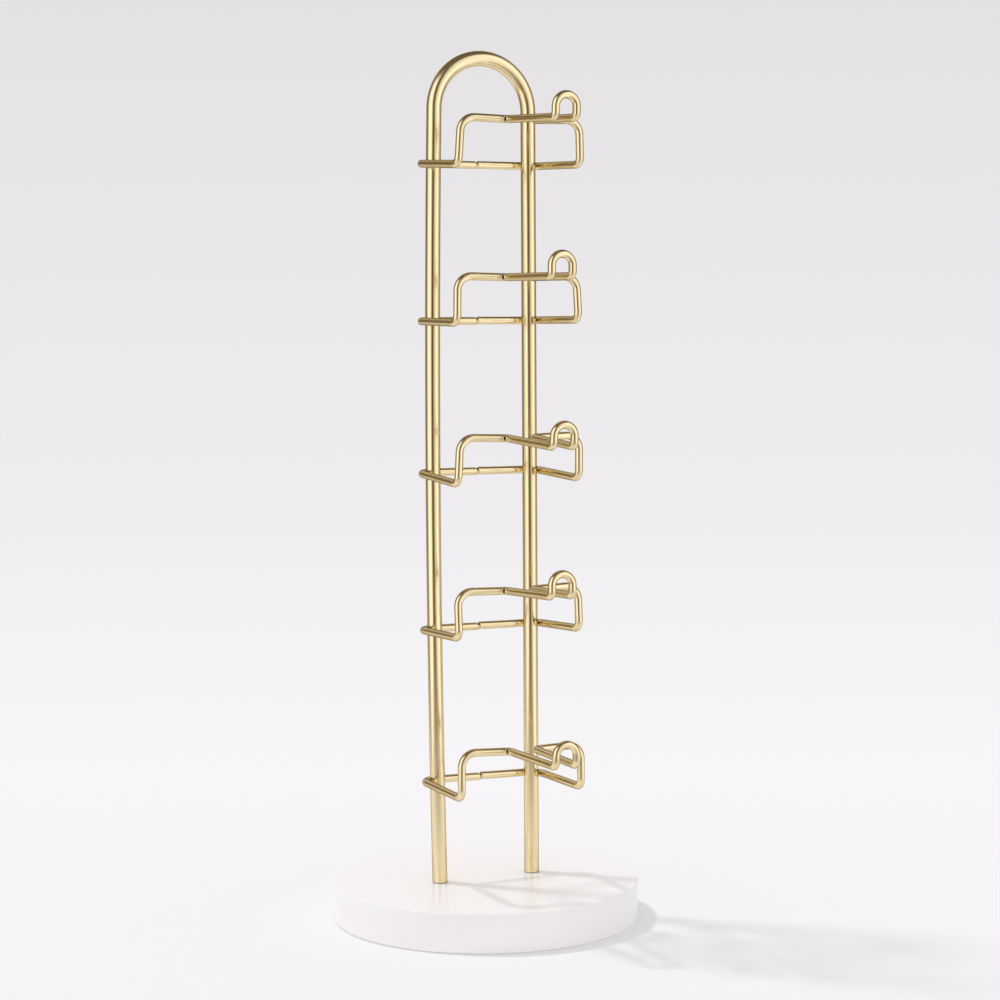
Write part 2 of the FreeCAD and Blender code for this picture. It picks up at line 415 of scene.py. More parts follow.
def painted_shade_ring(entry, normal, sides):
    """Painted shade round a point of a path: the inside of a crease is painted dark. it is dull down in
    a crease.
    """
    outward = entry.squeeze.normalized()
    depth = max(entry.crease, 0.0) / CREASE_DEPTH
    ring = []
    for way in ring_ways(entry.direction, normal, sides):
        inside = max(-way.dot(outward), 0.0)
        # Painted shade, darkest deep inside the crease.
        ring.append(depth * inside ** 3)
    return ring


def skin(rings, painted_shade_rings):
    """Closed skin over a row of rings, with a flat cap at each end.

    The shade rings give the painted shade at each point, from 0 to 1.
    """
    bm = bmesh.new()
    painted_shade = bm.verts.layers.float.new("painted_shade")
    loops = [[bm.verts.new(point) for point in ring] for ring in rings]
    for loop, row in zip(loops, painted_shade_rings):
        for vert, value in zip(loop, row):
            vert[painted_shade] = value
    for low, high in zip(loops, loops[1:]):
        for step in range(len(low)):
            after = (step + 1) % len(low)
            bm.faces.new((low[step], low[after], high[after], high[step]))
    bm.faces.new(loops[0][::-1])
    bm.faces.new(loops[-1])
    return bm


def wire_skin(path, normals, radius, ends, end_shades):
    """Closed skin of a rod or wire.

    Each of the two ends is a list of rings, from the very end inwards, and the end shades give the
    painted shade on each ring of an end.
    """
    first, last = ends
    sides = len(first[0])
    between = list(zip(path, normals))[1:-1]
    rings = [ring_round(entry, normal, radius, sides) for entry, normal in between]
    painted_shade_rings = [painted_shade_ring(entry, normal, sides) for entry, normal in between]
    end_shade_rings = [[value] * sides for value in end_shades]
    return skin(first + rings + last[::-1], end_shade_rings + painted_shade_rings + end_shade_rings[::-1])


def turned(profile, sides, centre=Vector()):
    """Closed skin turned about Z from (radius, height) points that start and end on the axis."""
    bm = bmesh.new()
    low = bm.verts.new(centre + Vector((0, 0, profile[0][1])))
    high = bm.verts.new(centre + Vector((0, 0, profile[-1][1])))
    loops = []
    for radius, height in profile[1:-1]:
        loop = []
        for step in range(sides):
            turn = 2 * math.pi * step / sides
            spoke = Vector((radius * math.cos(turn), radius * math.sin(turn), height))
            loop.append(bm.verts.new(centre + spoke))
        loops.append(loop)
    for step in range(sides):
        after = (step + 1) % sides
        bm.faces.new((low, loops[0][after], loops[0][step]))
        for near, far in zip(loops, loops[1:]):
            bm.faces.new((near[step], near[after], far[after], far[step]))
        bm.faces.new((loops[-1][step], loops[-1][after], high))
    return bm


def disc_profile(radius, low, high, rim_round, flat_edge):
    """Half the section of a disc with two rounded rims.

    The flat edge is a ring on both faces that keeps the shading of the rims off them.
    """
    steps = 6
    arc = []
    for step in range(steps + 1):
        turn = math.pi / 2 * step / steps
        across = radius - rim_round * (1 - math.sin(turn))
        arc.append((across, rim_round * (1 - math.cos(turn))))
    lower = [(across, low + along) for across, along in arc]
    upper = [(across, high - along) for across, along in reversed(arc)]
    return [(0, low), (flat_edge, low)] + lower + upper + [(flat_edge, high), (0, high)]


# Nodes of materials

# Most of a noise lies between these two values
NOISE_SPAN = (0.3, 0.7)


def scaled(tint, factor):
    return [value * factor for value in tint]


def feed(tree, node, values):
    """Links or sets inputs of a node, whose values are sockets, numbers, vectors or colours."""
    for key, value in values.items():
        socket = node.inputs[key]
        if isinstance(value, bpy.types.NodeSocket):
            tree.links.new(value, socket)
        elif socket.type == "RGBA":
            socket.default_value = (*value, 1.0)
        else:
            socket.default_value = value


def add_node(tree, kind, place, values=None, **settings):
    node = tree.nodes.new(kind)
    node.location = place
    for key, value in settings.items():
        setattr(node, key, value)
    feed(tree, node, values or {})
    return node


def mix(tree, place, factor, first, second, blend_type="MIX"):
    """Mixes two colours. All three values may be sockets."""
    values = {"Factor": factor, "A": first, "B": second}
    node = add_node(
        tree, "ShaderNodeMix", place, data_type="RGBA", blend_type=blend_type, values=values,
    )
    return node.outputs["Result"]


def map_range(tree, place, source, span, onto=(0.0, 1.0), interpolation="LINEAR"):
    """Maps the span of a value onto another one, whose ends may be sockets."""
    node = add_node(tree, "ShaderNodeMapRange", place, interpolation_type=interpolation, values={
        "Value": source, "From Min": span[0], "From Max": span[1],
        "To Min": onto[0], "To Max": onto[1],
    })
    return node.outputs["Result"]


def maths(tree, place, operation, *values, kind="ShaderNodeMath"):
    """Works out a number from sockets and plain numbers, or from vectors with the vector kind."""
    node = add_node(tree, kind, place, dict(enumerate(values)), operation=operation)
    return node.outputs["Value"]


def ramp(tree, place, source, stops):
    """A colour ramp with the given (position, colour) stops."""
    node = add_node(tree, "ShaderNodeValToRGB", place, {"Fac": source})
    elements = node.color_ramp.elements
    while len(elements) < len(stops):
        elements.new(0.5)
    for element, (place_on_ramp, tint) in zip(elements, stops):
        element.position = place_on_ramp
        element.color = (*tint, 1.0)
    return node.outputs["Color"]


def grain(tree, place, scale, detail=3.0, stretch=(1.0, 1.0, 1.0)):
    """Fine noise in the coordinates of the object, stretched along one axis if asked."""
    coordinates = add_node(tree, "ShaderNodeTexCoord", (place[0] - 400, place[1]))
    mapping = add_node(tree, "ShaderNodeMapping", (place[0] - 200, place[1]), {
        "Vector": coordinates.outputs["Object"], "Scale": stretch,
    })
    texture = add_node(tree, "ShaderNodeTexNoise", place, {
        "Vector": mapping.outputs["Vector"], "Scale": scale, "Detail": detail,
    })
    return texture.outputs["Fac"]


def clouded(tree, scale, first, second):
    """A soft cloud of two tones."""
    return mix(tree, (-400, 300), grain(tree, (-700, 300), scale), first, second)


def uneven(tree, source, middle, part):
    """A roughness that goes up and down by a part of itself with a noise."""
    ends = (middle * (1 - part), middle * (1 + part))
    return map_range(tree, (-400, 0), source, NOISE_SPAN, ends)


def bump(tree, source, distance, strength):
    values = {"Height": source, "Distance": distance, "Strength": strength}
    return add_node(tree, "ShaderNodeBump", (-400, -300), values).outputs["Normal"]


def material_of(surface):
    """The material of a surface. It is made once and bears the name of its function."""
    name = surface.__name__
    material = bpy.data.materials.get(name)
    if material is None:
        material = bpy.data.materials.new(name)
        material.use_nodes = True
        tree = material.node_tree
        surface(tree, tree.nodes["Principled BSDF"], bpy.context.scene)
    return material


# Surfaces of the stand

def gold_plating(tree, shader, scene):
    """Satin pale gold: soft cloud in the tone, fine grain in the roughness, faint polishing marks."""
    finish = scene.stand_finish
    cloud = clouded(tree, 120.0, finish.gold, finish.gold_deep)
    # Painted shade: a mesh attribute darkens the gold in creases, seams and at the feet.
    painted_shade = add_node(tree, "ShaderNodeAttribute", (-400, 500), attribute_name="painted_shade")
    fine = grain(tree, (-700, 0), scale=260.0)
    marks = grain(tree, (-700, -300), scale=2600.0, detail=2.0)
    feed(tree, shader, {
        "Base Color": mix(tree, (-200, 300), painted_shade.outputs["Fac"], cloud, finish.gold_painted_shade),
        "Metallic": 1.0,
        "Roughness": uneven(tree, fine, finish.gold_roughness, 0.08),
        "Specular Tint": finish.gold_edge,
        "Normal": bump(tree, marks, distance=0.0005 * MM, strength=0.15),
    })


def board_lacquer(tree, shader, scene):
    """White satin lacquer with a faint orange peel."""
    finish = scene.stand_finish
    fine = grain(tree, (-700, 0), scale=380.0)
    peel = grain(tree, (-700, -300), scale=500.0, detail=1.0)
    feed(tree, shader, {
        "Base Color": clouded(tree, 45.0, finish.board, scaled(finish.board, 0.985)),
        "Roughness": uneven(tree, fine, finish.board_roughness, 0.1),
        "Specular IOR Level": 0.15,
        "Normal": bump(tree, peel, distance=0.003 * MM, strength=0.2),
    })


def grip_rubber(tree, shader, scene):
    """Dark foam sheet with small pores."""
    finish = scene.stand_finish
    coordinates = add_node(tree, "ShaderNodeTexCoord", (-900, -200))
    pores = add_node(tree, "ShaderNodeTexVoronoi", (-700, -200), {
        "Vector": coordinates.outputs["Object"], "Scale": 1600.0,
    })
    feed(tree, shader, {
        "Base Color": clouded(tree, 500.0, finish.pad, scaled(finish.pad, 1.8)),
        "Roughness": 0.85,
        "Normal": bump(tree, pores.outputs["Distance"], distance=0.05 * MM, strength=0.5),
    })


def zinc_steel(tree, shader, scene):
    """Zinc plated steel with turning marks."""
    finish = scene.stand_finish
    marks = grain(tree, (-700, 0), scale=900.0, detail=4.0, stretch=(1.0, 1.0, 12.0))
    feed(tree, shader, {
        "Base Color": clouded(tree, 700.0, finish.steel, scaled(finish.steel, 0.8)),
        "Metallic": 1.0,
        "Roughness": uneven(tree, marks, 0.35, 0.2),
        "Normal": bump(tree, marks, distance=0.01 * MM, strength=0.4),
    })


# Pieces

# In degrees. A sharper edge isn't shaded smooth.
SHARP_EDGE = 35.0
ALL_SMOOTH = 180.0

# How far the box of a piece may be off that of its CAD node
FIT_TOLERANCE = 0.35 * MM


def finished_piece(name, bm, surface, sharp_edge=SHARP_EDGE):
    """Turns a bmesh into a smooth-shaded object with the material of a surface."""
    bmesh.ops.recalc_face_normals(bm, faces=bm.faces)
    mesh = bpy.data.meshes.new(name)
    bm.to_mesh(mesh)
    bm.free()
    mesh.shade_smooth()
    mesh.set_sharp_from_angle(angle=math.radians(sharp_edge))
    mesh.materials.append(material_of(surface))
    piece = bpy.data.objects.new(name, mesh)
    bpy.context.scene.collection.objects.link(piece)
    return piece


def stand_in(piece, node):
    """Puts a piece in place of a CAD node."""
    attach(piece, "root")
    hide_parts(node)


def fit_to_node(piece, node):
    """Puts a piece in place of a CAD node, after a test that both fill the same space."""
    low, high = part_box(node)
    for axis in range(3):
        extent = [corner[axis] for corner in piece.bound_box]
        near = min(extent) - low[axis]
        far = max(extent) - high[axis]
        if max(abs(near), abs(far)) > FIT_TOLERANCE:
            raise RuntimeError(f"{piece.name} is off {node} by {near:.5f} and {far:.5f}, axis {axis}")
    stand_in(piece, node)


class STAND_OT_base_board(bpy.types.Operator):
    """Make the round white base board with its screw holes"""
    bl_idname = "glasses_stand.base_board"
    bl_label = "Base board"
    bl_options = {"REGISTER", "UNDO"}

    sides = 256
    drill_sides = 64
    drill_overshoot = MM
    flat_margin = 0.3 * MM

    def execute(self, context):
        scene = context.scene
        base = scene.stand_base
        radius = base.diameter / 2
        flat_edge = radius - base.rim_round - self.flat_margin
        profile = disc_profile(
            radius, base.pad_thickness, base_top(scene), base.rim_round, flat_edge,
        )
        board = finished_piece("base_board", turned(profile, self.sides), board_lacquer)
        self.drill(scene, board)
        fit_to_node(board, "base_disc")
        return {"FINISHED"}

    def drill(self, scene, board):
        """Cuts the two bores and their counterbores."""
        base = scene.stand_base
        low = base.pad_thickness - self.drill_overshoot
        shoulder = base.pad_thickness + base.counterbore_depth
        high = base_top(scene) + self.drill_overshoot
        wide = base.counterbore / 2
        narrow = base.bore / 2
        profile = [
            (0, low), (wide, low), (wide, shoulder), (narrow, shoulder), (narrow, high), (0, high),
        ]
        for side in (-1, 1):
            centre = Vector((side * scene.stand_rod.leg_spacing / 2, 0, 0))
            bm = turned(profile, self.drill_sides, centre)
            cutter = finished_piece("drill", bm, board_lacquer)
            cut = board.modifiers.new("drill", "BOOLEAN")
            cut.operation = "DIFFERENCE"
            cut.solver = "EXACT"
            cut.object = cutter
            settled = board.evaluated_get(bpy.context.evaluated_depsgraph_get())
            mesh = bpy.data.meshes.new_from_object(settled)
            mesh.set_sharp_from_angle(angle=math.radians(SHARP_EDGE))
            board.modifiers.clear()
            board.data = mesh
            bpy.data.objects.remove(cutter)
        board.data.name = board.name


class STAND_OT_grip_pad(bpy.types.Operator):
    """Make the thin grip sheet under the base board"""
    bl_idname = "glasses_stand.grip_pad"
    bl_label = "Grip pad"
    bl_options = {"REGISTER", "UNDO"}

    sides = 192
    flat_margin = MM
    edge_share = 0.3

    def execute(self, context):
        base = context.scene.stand_base
        radius = base.diameter / 2 - base.pad_inset
        edge_round = base.pad_thickness * self.edge_share
        flat_edge = radius - self.flat_margin
        profile = disc_profile(radius, 0, base.pad_thickness, edge_round, flat_edge)
        pad = finished_piece("grip_sheet", turned(profile, self.sides), grip_rubber)
        fit_to_node(pad, "base_pad")
        return {"FINISHED"}


class STAND_OT_frame_rod(bpy.types.Operator):
    """Make the rod that is bent into a tall inverted U"""
    bl_idname = "glasses_stand.frame_rod"
    bl_label = "Frame rod"
    bl_options = {"REGISTER", "UNDO"}

    sides = 64
    leg_steps = 120
    arch_steps = 72

    # Painted shade on the rings of a foot, dark where the rod meets the board, and how high the last one
    # lies, in chamfers
    foot_shades = (1.0, 1.0, 1.0, 0.7, 0.0)
    foot_fade = 3

    def execute(self, context):
        rod = context.scene.stand_rod
        path = self.centre_line(context.scene)
        normals = carried_normals(path)
        feet = (
            self.foot(rod, path[0].place, normals[0], 1),
            self.foot(rod, path[-1].place, normals[-1], -1),
        )
        bm = wire_skin(path, normals, rod.diameter / 2, feet, self.foot_shades)
        piece = finished_piece("frame_rod", bm, gold_plating)
        fit_to_node(piece, "u_frame")
        return {"FINISHED"}

    def centre_line(self, scene):
        """Up the bowed left leg, over the arch and down the right leg."""
        rod = scene.stand_rod
        centre_x, centre_z, radius, start_z, splay = left_leg_arc(scene)
        arch_radius = rod.leg_spacing / 2
        arch_z = rod.overall_height - rod.diameter / 2 - arch_radius
        foot_z = base_top(scene)
        path = []
        for step in range(self.leg_steps):
            z = foot_z + (start_z - foot_z) * step / self.leg_steps
            x = left_leg_x(scene, z)
            down = Vector((-(z - centre_z), 0, x - centre_x)).normalized()
            path.append(PathPoint(Vector((x, 0, z)), -down))
        for step in range(self.arch_steps + 1):
            turn = (math.pi - splay) * (1 - step / self.arch_steps)
            spoke = Vector((math.cos(turn), 0, math.sin(turn)))
            direction = Vector((math.sin(turn), 0, -math.cos(turn)))
            path.append(PathPoint(Vector((0, 0, arch_z)) + spoke * arch_radius, direction))
        for step in range(1, self.leg_steps + 1):
            z = arch_z + (foot_z - arch_z) * step / self.leg_steps
            path.append(PathPoint(Vector((arch_radius, 0, z)), Vector((0, 0, -1))))
        return path

    def foot(self, rod, place, normal, way):
        """Rings of a square-cut foot: up the tapped hole, back down, and out over the chamfer.

        The way is 1 where the path runs up from the foot and -1 where it comes down to it.
        """
        direction = Vector((0, 0, way))
        level = (normal - direction * normal.dot(direction)).normalized()
        hole = rod.tapped_hole / 2
        outer = rod.diameter / 2
        chamfer = rod.foot_chamfer
        rings = []
        for rise, radius in (
            (rod.tapped_depth, hole), (0, hole), (0, outer - chamfer),
            (chamfer, outer), (self.foot_fade * chamfer, outer),
        ):
            entry = PathPoint(place + Vector((0, 0, rise)), direction)
            rings.append(ring_round(entry, level, radius, self.sides))
        return rings


class STAND_OT_holders(bpy.types.Operator):
    """Make the five bent-wire glasses holders"""
    bl_idname = "glasses_stand.holders"
    bl_label = "Glasses holders"
    bl_options = {"REGISTER", "UNDO"}

    sides = 40

    # Painted shade on the rings of a bevelled end, dark down in the seam. A power of 1 makes the bevel
    # straight, and more makes it round.
    end_shades = (0.6, 0.5, 0.2, 0.0)
    bevel_power = 1.3

    def execute(self, context):
        for index in range(HOLDERS):
            self.holder(context.scene, index)
        return {"FINISHED"}

    def holder(self, scene, index):
        """One wire from seam to seam, with two bevelled ends."""
        weld = scene.stand_weld
        seam = weld.seam_width / 2
        radius = scene.stand_holder.wire / 2
        corners = holder_corners(scene, index, 1) + holder_corners(scene, index, -1)[::-1]
        drawing = [(seam, 0, 0)] + [corner[:3] for corner in corners] + [(-seam, 0, 0)]
        points = [place_on_frame(scene, index, x, reach, z) for x, reach, z in drawing]
        path = without_repeats(bent_path(points, [corner[3] for corner in corners], radius))
        path = self.sprung_ends(weld, index, path)
        normals = carried_normals(path)
        ends = (
            self.bevelled_end(weld, path[0], normals[0], radius, 1),
            self.bevelled_end(weld, path[-1], normals[-1], radius, -1),
        )
        bm = wire_skin(path, normals, radius, ends, self.end_shades)
        piece = finished_piece(f"holder_wire_{index + 1}", bm, gold_plating)
        fit_to_node(piece, f"glasses_holder_{index + 1}")

    def sprung_ends(self, weld, index, path):
        """Lifts the right end of the wire a little and lowers the left one, as welded."""
        moved = []
        for number_along, entry in enumerate(path):
            first = number_along < len(path) / 2
            from_seam = (entry.place - path[0 if first else -1].place).length
            near = max(1 - from_seam / weld.seam_spring, 0.0)
            lift = (0.5 if first else -0.5) * weld.seam_step[index] * near ** 2
            moved.append(entry._replace(place=entry.place + Vector((0, 0, lift))))
        return moved

    def bevelled_end(self, weld, end, normal, radius, way):
        """Rings of a bevelled wire end, from the end face inwards."""
        rings = []
        steps = len(self.end_shades) - 1
        for step in range(steps + 1):
            along = weld.seam_bevel * step / steps
            narrow = weld.seam_bevel * (1 - step / steps) ** self.bevel_power
            entry = PathPoint(end.place + end.direction * (way * along), end.direction)
            rings.append(ring_round(entry, normal, radius - narrow, self.sides))
        return rings


class STAND_OT_seam_welds(bpy.types.Operator):
    """Make the butt welds that close the five holder wires"""
    bl_idname = "glasses_stand.seam_welds"
    bl_label = "Seam welds"
    bl_options = {"REGISTER", "UNDO"}

    sides = 32
    steps = 14
    sharp_edge = 60.0

    # Girth and ripple of the weld, in radii, and its painted shade at the middle of its height. The
    # painted shade grows towards the top, and there is none at the bottom.
    girth = 0.97
    ripple = 0.05
    ripple_scale = 1.1 / MM
    painted_shade = 0.3

    def execute(self, context):
        for index in range(HOLDERS):
            self.seam(context.scene, index)
        return {"FINISHED"}

    def seam(self, scene, index):
        """A short rippled rod between the two ends of a wire, and into their bevels."""
        weld = scene.stand_weld
        radius = scene.stand_holder.wire / 2 - weld.seam_sink
        half_length = weld.seam_width / 2 + weld.seam_bevel
        rear = Vector((0, 1, 0))
        rings = []
        painted_shade_rings = []
        for step in range(self.steps + 1):
            along = half_length * (2 * step / self.steps - 1)
            centre = place_on_frame(scene, index, along, 0, -weld.seam_sink)
            ahead = place_on_frame(scene, index, along + MM, 0, -weld.seam_sink) - centre
            ring = ring_round(PathPoint(centre, ahead.normalized()), rear, radius, self.sides)
            rings.append([self.rippled(point, centre) for point in ring])
            # Painted shade: dark on top of the weld, none at the bottom.
            painted_shade_rings.append([
                self.painted_shade + self.painted_shade * (point.z - centre.z) / radius for point in ring
            ])
        bm = skin(rings, painted_shade_rings)
        piece = finished_piece(f"seam_bead_{index + 1}", bm, gold_plating, self.sharp_edge)
        stand_in(piece, f"seam_weld_{index + 1}")

    def rippled(self, point, centre):
        """Moves a point of the weld a little in or out."""
        ripple = self.ripple * noise.noise(point * self.ripple_scale)
        return centre + (point - centre) * (self.girth + ripple)


class STAND_OT_leg_welds(bpy.types.Operator):
    """Make the ten weld beads between the legs and the back bars"""
    bl_idname = "glasses_stand.leg_welds"
    bl_label = "Leg welds"
    bl_options = {"REGISTER", "UNDO"}

    subdivisions = 5
    steps = 80

    # How much the fillet and the reach of a bead differ all round, and how
    # fine its lumps are. The pitch makes every bead another one.
    fillet_swing = 0.25
    reach_swing = 0.2
    lump_scale = 1.7
    seed_pitch = 7 * MM
    least_fillet = 1e-7

    def execute(self, context):
        scene = context.scene
        half_spacing = scene.stand_rod.leg_spacing / 2
        for index in range(HOLDERS):
            height = holder_height(scene, index)
            centre_x = holder_centre_x(scene, index)
            for side, leg_x in (("left", left_leg_x(scene, height)), ("right", half_spacing)):
                crossing = place_on_frame(scene, index, leg_x - centre_x, 0, 0)
                piece = self.bead(scene, f"{side}_leg_bead_{index + 1}", index, crossing)
                stand_in(piece, f"{side}_leg_weld_{index + 1}")
        return {"FINISHED"}

    def bead(self, scene, name, index, crossing):
        """A small fillet all round the place where rod and wire cross.

        A ball is pulled out from the middle of the gap to the joint skin of the two.
        """
        weld = scene.stand_weld
        rod_radius = scene.stand_rod.diameter / 2
        wire_radius = scene.stand_holder.wire / 2
        roll = scene.stand_holder.roll[index]
        along_wire = Vector((math.cos(roll), 0, math.sin(roll)))
        middle = Vector((crossing.x, rod_radius + weld.gap / 2, crossing.z))
        steps = self.steps
        least_fillet = self.least_fillet
        bm = bmesh.new()
        bmesh.ops.create_icosphere(bm, subdivisions=self.subdivisions, radius=1.0)
        for vert in bm.verts:
            way = vert.co.normalized()
            lumps = noise.noise(way * self.lump_scale + crossing / self.seed_pitch)
            size = 1 + self.fillet_swing * lumps
            fillet = weld.bead_fillet * size
            reach = weld.bead_reach * (1 + self.reach_swing * (size - 1))
            for step in range(1, steps + 1):
                point = middle + way * (reach * step / steps)
                to_rod = math.hypot(point.x - crossing.x, point.y) - rod_radius
                from_wire = point - crossing
                to_wire = (from_wire - along_wire * from_wire.dot(along_wire)).length - wire_radius
                blend = fillet * (1 - (step / steps) ** 2) + least_fillet
                overlap = max(blend - abs(to_rod - to_wire), 0.0) / blend
                if min(to_rod, to_wire) - overlap ** 2 * blend / 4 > 0:
                    break
            vert.co = point
        return finished_piece(name, bm, gold_plating, ALL_SMOOTH)


class STAND_OT_fasteners(bpy.types.Operator):
    """Give the screws and washers inside the base their steel finish"""
    bl_idname = "glasses_stand.fasteners"
    bl_label = "Screws and washers"
    bl_options = {"REGISTER", "UNDO"}

    def execute(self, context):
        for name in ("frame_screws", "frame_washers"):
            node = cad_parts[name]
            node.data.materials.clear()
            node.data.materials.append(material_of(zinc_steel))
        return {"FINISHED"}


# Studio

WHITE = (1.0, 1.0, 1.0)
MATT = {"Roughness": 0.9, "Specular IOR Level": 0.0}

# In metres: heights where the paper has the tones of the low and the high
# backdrop, distances towards the camera where its shade begins, is half there
# and is full, and the span behind the stand over which its glow takes over.
TONE_HEIGHTS = (0.115, 0.5)
SHADE_REACH = (0.08, 0.22, 0.42)
FADE_SPAN = (-0.15, -0.45)

# The glow in the gap under the board ends between these distances from its side
GAP_EDGE = (-0.2 * MM, 0.6 * MM)


def studio_sweep(tree, paper, scene):
    """Pale paper. It takes shadows near the stand and is evenly lit further away.

    The shade near the camera only shows as the gold mirrors it.
    """
    studio = scene.stand_studio
    place = add_node(tree, "ShaderNodeTexCoord", (-1300, 0)).outputs["Object"]
    split = add_node(tree, "ShaderNodeSeparateXYZ", (-1100, 0), {"Vector": place})
    tones = (studio.floor, studio.backdrop_low, studio.backdrop)
    tone = ramp(tree, (-900, 0), split.outputs["Z"], list(zip((0.0, *TONE_HEIGHTS), tones)))
    to_camera = Vector((studio.camera_place[0], studio.camera_place[1], 0)).normalized()
    near = maths(
        tree, (-1100, 250), "DOT_PRODUCT", place, to_camera, kind="ShaderNodeVectorMath",
    )
    half_shade = [(1.0 + value) / 2 for value in studio.near_shade]
    shades = (WHITE, half_shade, studio.near_shade)
    shade = ramp(tree, (-900, 250), near, list(zip(SHADE_REACH, shades)))
    path = add_node(tree, "ShaderNodeLightPath", (-900, 600))
    seen = mix(tree, (-600, 350), path.outputs["Is Camera Ray"], shade, WHITE)
    shaded = mix(tree, (-400, 150), 1.0, tone, seen, "MULTIPLY")
    away = maths(tree, (-1100, -500), "LENGTH", place, kind="ShaderNodeVectorMath")
    rim = [scene.stand_base.diameter / 2 + edge for edge in GAP_EDGE]
    least = map_range(tree, (-900, -500), away, rim, (studio.gap_glow, studio.floor_glow))
    fade = map_range(tree, (-600, -300), near, FADE_SPAN, (least, 1.0), "SMOOTHSTEP")
    glow = add_node(tree, "ShaderNodeEmission", (-200, -200), {"Color": shaded})
    feed(tree, paper, {"Base Color": shaded, **MATT})
    mixed = add_node(tree, "ShaderNodeMixShader", (0, 0), {
        "Fac": fade, 1: paper.outputs["BSDF"], 2: glow.outputs["Emission"],
    })
    feed(tree, tree.nodes["Material Output"], {"Surface": mixed.outputs["Shader"]})


def studio_floor(tree, paper, scene):
    """The same pale paper, all round."""
    feed(tree, paper, {"Base Color": scene.stand_studio.floor, **MATT})


class STAND_OT_stage(bpy.types.Operator):
    """Set up the floor, backdrop, lights and camera"""
    bl_idname = "glasses_stand.stage"
    bl_label = "Stage"
    bl_options = {"REGISTER", "UNDO"}

    # The sheet, in metres from the stand: flat rows in front of it and under it,
    # the bend up to the backdrop, its top, and how its half width grows behind
    flat_rows = (-0.62, -0.3, 0.0)
    bend_start = 0.3
    bend_radius = 0.5
    bend_angle = math.radians(88)
    bend_steps = 40
    top_height = 1.1
    top_lean = 0.02
    half_width = 0.3
    widening = 0.4

    # The wide floor, and how far it lies under the sheet
    wide_radius = 3.0
    wide_segments = 96
    wide_drop = 0.5 * MM

    # Which way the key light shines, towards which side the fill grows, and from
    # which to which cosine of the angle to that side
    key_shine = (0.36, -0.37, -1.0)
    fill_side = (-0.12, -0.45, -0.885)
    fill_span = (-0.87, 0.38)

    # How bright the middle and the edges of the screens are, and how high above
    # the horizon, as a sine, the ceiling begins and is full
    screen_middle = 1.25
    screen_edge = 0.62
    ceiling_span = (0.62, 0.88)

    def execute(self, context):
        scene = context.scene
        self.sweep(scene)
        self.wide_floor()
        self.key_light(scene)
        self.room(scene)
        self.camera(scene)
        scene.view_settings.view_transform = "Standard"
        return {"FINISHED"}

    def sight(self, studio):
        """From the camera to the middle of the picture."""
        return Vector(studio.camera_target) - Vector(studio.camera_place)

    def sweep(self, scene):
        """One sheet that is the floor and curves up to the backdrop."""
        sight = self.sight(scene.stand_studio)
        ahead = Vector((sight.x, sight.y, 0)).normalized()
        right = Vector((ahead.y, -ahead.x, 0))
        profile = [(depth, 0.0) for depth in self.flat_rows]
        for step in range(self.bend_steps + 1):
            turn = self.bend_angle * step / self.bend_steps
            depth = self.bend_start + self.bend_radius * math.sin(turn)
            profile.append((depth, self.bend_radius * (1 - math.cos(turn))))
        profile.append((depth + self.top_lean, self.top_height))
        bm = bmesh.new()
        rows = []
        for depth, height in profile:
            half_width = self.half_width + min(max(depth, 0.0), self.widening)
            rows.append([
                bm.verts.new(ahead * depth + right * side + Vector((0, 0, height)))
                for side in (-half_width, half_width)
            ])
        for near, far in zip(rows, rows[1:]):
            bm.faces.new((near[0], near[1], far[1], far[0]))
        finished_piece("studio_sweep", bm, studio_sweep, ALL_SMOOTH)

    def wide_floor(self):
        """A wide floor just under the sweep, for the other sides. It gives the stand no light."""
        bm = bmesh.new()
        bmesh.ops.create_circle(
            bm, cap_ends=True, segments=self.wide_segments, radius=self.wide_radius,
        )
        bmesh.ops.translate(bm, verts=bm.verts, vec=(0, 0, -self.wide_drop))
        floor = finished_piece("studio_floor", bm, studio_floor)
        floor.visible_diffuse = False
        floor.visible_glossy = False
        floor.visible_shadow = False

    def key_light(self, scene):
        """The soft key light high behind the stand on the left."""
        key = bpy.data.lights.new("key_light", "SUN")
        key.energy = scene.stand_studio.key_strength
        key.angle = scene.stand_studio.key_soft
        lamp = bpy.data.objects.new("key_light", key)
        lamp.rotation_mode = "QUATERNION"
        lamp.rotation_quaternion = Vector(self.key_shine).normalized().to_track_quat("-Z", "Y")
        lamp.visible_glossy = False
        scene.collection.objects.link(lamp)

    def room(self, scene):
        """Even light for matt surfaces, and for the gold a dark room with two light screens.

        Past the sweep the picture shows the tone of its backdrop.
        """
        studio = scene.stand_studio
        world = bpy.data.worlds.new("studio_room")
        scene.world = world
        world.use_nodes = True
        world.cycles.sampling_method = "NONE"
        tree = world.node_tree
        way = add_node(tree, "ShaderNodeTexCoord", (-1700, 0)).outputs["Generated"]
        path = add_node(tree, "ShaderNodeLightPath", (-300, 300))
        light = self.soft_light(tree, studio, way)
        mirrored = self.mirrored_room(tree, studio, way)
        mixed = mix(tree, (-50, 0), path.outputs["Is Glossy Ray"], light, mirrored)
        seen = mix(tree, (120, 150), path.outputs["Is Camera Ray"], mixed, studio.backdrop_low)
        background = tree.nodes["Background"]
        background.location = (320, 150)
        tree.nodes["World Output"].location = (560, 150)
        feed(tree, background, {"Color": seen})

    def soft_light(self, tree, studio, way):
        """Even sky, with more light from the front on the left."""
        side = Vector(self.fill_side).normalized()
        toward = maths(
            tree, (-1100, -400), "DOT_PRODUCT", way, side, kind="ShaderNodeVectorMath",
        )
        share_of_fill = map_range(tree, (-800, -400), toward, self.fill_span)
        return ramp(tree, (-500, -400), share_of_fill, ((0.0, studio.sky), (1.0, studio.fill)))

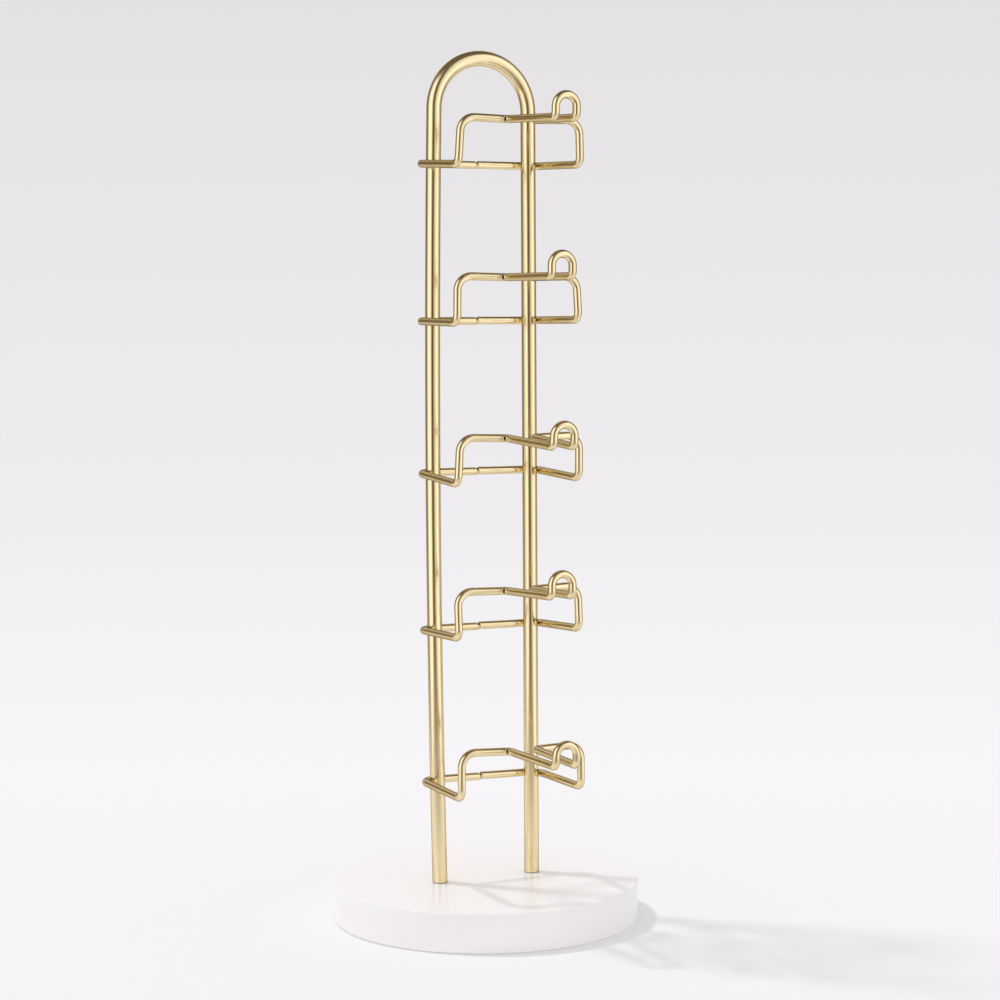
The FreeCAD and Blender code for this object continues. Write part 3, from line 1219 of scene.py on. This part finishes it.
    def mirrored_room(self, tree, studio, way):
        """Ring of tones round the stand, in degrees from the camera, that darkens overhead."""
        split = add_node(tree, "ShaderNodeSeparateXYZ", (-1500, 0), {"Vector": way})
        ahead = maths(tree, (-1300, -150), "MULTIPLY", split.outputs["Y"], -1.0)
        heading = maths(tree, (-1100, 0), "ARCTAN2", split.outputs["X"], ahead)
        place = studio.camera_place
        camera_heading = math.atan2(place[0], -place[1])
        turned_away = maths(tree, (-900, 0), "SUBTRACT", heading, camera_heading - math.pi)
        turns = maths(tree, (-700, 0), "DIVIDE", turned_away, 2 * math.pi)
        wrapped = maths(tree, (-550, 0), "FRACT", turns)
        bright = scaled(studio.screen, self.screen_middle)
        half = scaled(studio.screen, self.screen_edge)
        ring = ramp(tree, (-350, 0), wrapped, [
            ((degrees + 180) / 360, tint) for degrees, tint in (
                (-180, studio.flag), (-104, studio.flag), (-86, half), (-70, bright),
                (-34, bright), (-21, half), (-12, studio.room), (8, studio.room),
                (22, half), (45, studio.screen), (60, bright), (78, bright),
                (96, half), (122, studio.flag), (180, studio.flag),
            )
        ])
        overhead = map_range(
            tree, (-550, 200), split.outputs["Z"], self.ceiling_span, interpolation="SMOOTHSTEP",
        )
        return mix(tree, (-200, 150), overhead, ring, studio.ceiling)

    def camera(self, scene):
        """The camera of the photograph, kept upright apart from a small roll."""
        studio = scene.stand_studio
        lens = bpy.data.cameras.new("stand_camera")
        lens.sensor_width = 36.0
        lens.lens = studio.lens
        camera = bpy.data.objects.new("stand_camera", lens)
        sight = self.sight(studio)
        camera.rotation_mode = "QUATERNION"
        upright = sight.to_track_quat("-Z", "Y")
        camera.rotation_quaternion = Quaternion(sight.normalized(), studio.camera_roll) @ upright
        camera.location = studio.camera_place
        scene.collection.objects.link(camera)
        scene.camera = camera


OPERATORS = (
    STAND_OT_base_board,
    STAND_OT_grip_pad,
    STAND_OT_frame_rod,
    STAND_OT_holders,
    STAND_OT_seam_welds,
    STAND_OT_leg_welds,
    STAND_OT_fasteners,
    STAND_OT_stage,
)


class STAND_PT_panel(bpy.types.Panel):
    """Sizes, finishes and build steps of the glasses stand"""
    bl_idname = "STAND_PT_panel"
    bl_label = "Glasses stand"
    bl_space_type = "VIEW_3D"
    bl_region_type = "UI"
    bl_category = "Glasses stand"

    def draw(self, context):
        layout = self.layout
        for operator in OPERATORS:
            layout.operator(operator.bl_idname)
        for name, group, title in GROUPS:
            box = layout.box()
            box.label(text=title)
            settings = getattr(context.scene, name)
            for key in group.__annotations__:
                box.prop(settings, key)


def register():
    for name, group, title in GROUPS:
        bpy.utils.register_class(group)
        setattr(bpy.types.Scene, name, bpy.props.PointerProperty(type=group, name=title))
    for operator in OPERATORS:
        bpy.utils.register_class(operator)
    bpy.utils.register_class(STAND_PT_panel)


def unregister():
    bpy.utils.unregister_class(STAND_PT_panel)
    for operator in reversed(OPERATORS):
        bpy.utils.unregister_class(operator)
    for name, group, title in reversed(GROUPS):
        delattr(bpy.types.Scene, name)
        bpy.utils.unregister_class(group)


def main():
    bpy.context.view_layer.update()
    register()
    for operator in OPERATORS:
        family, name = operator.bl_idname.split(".")
        getattr(getattr(bpy.ops, family), name)()


if __name__ == "__main__":
    main()
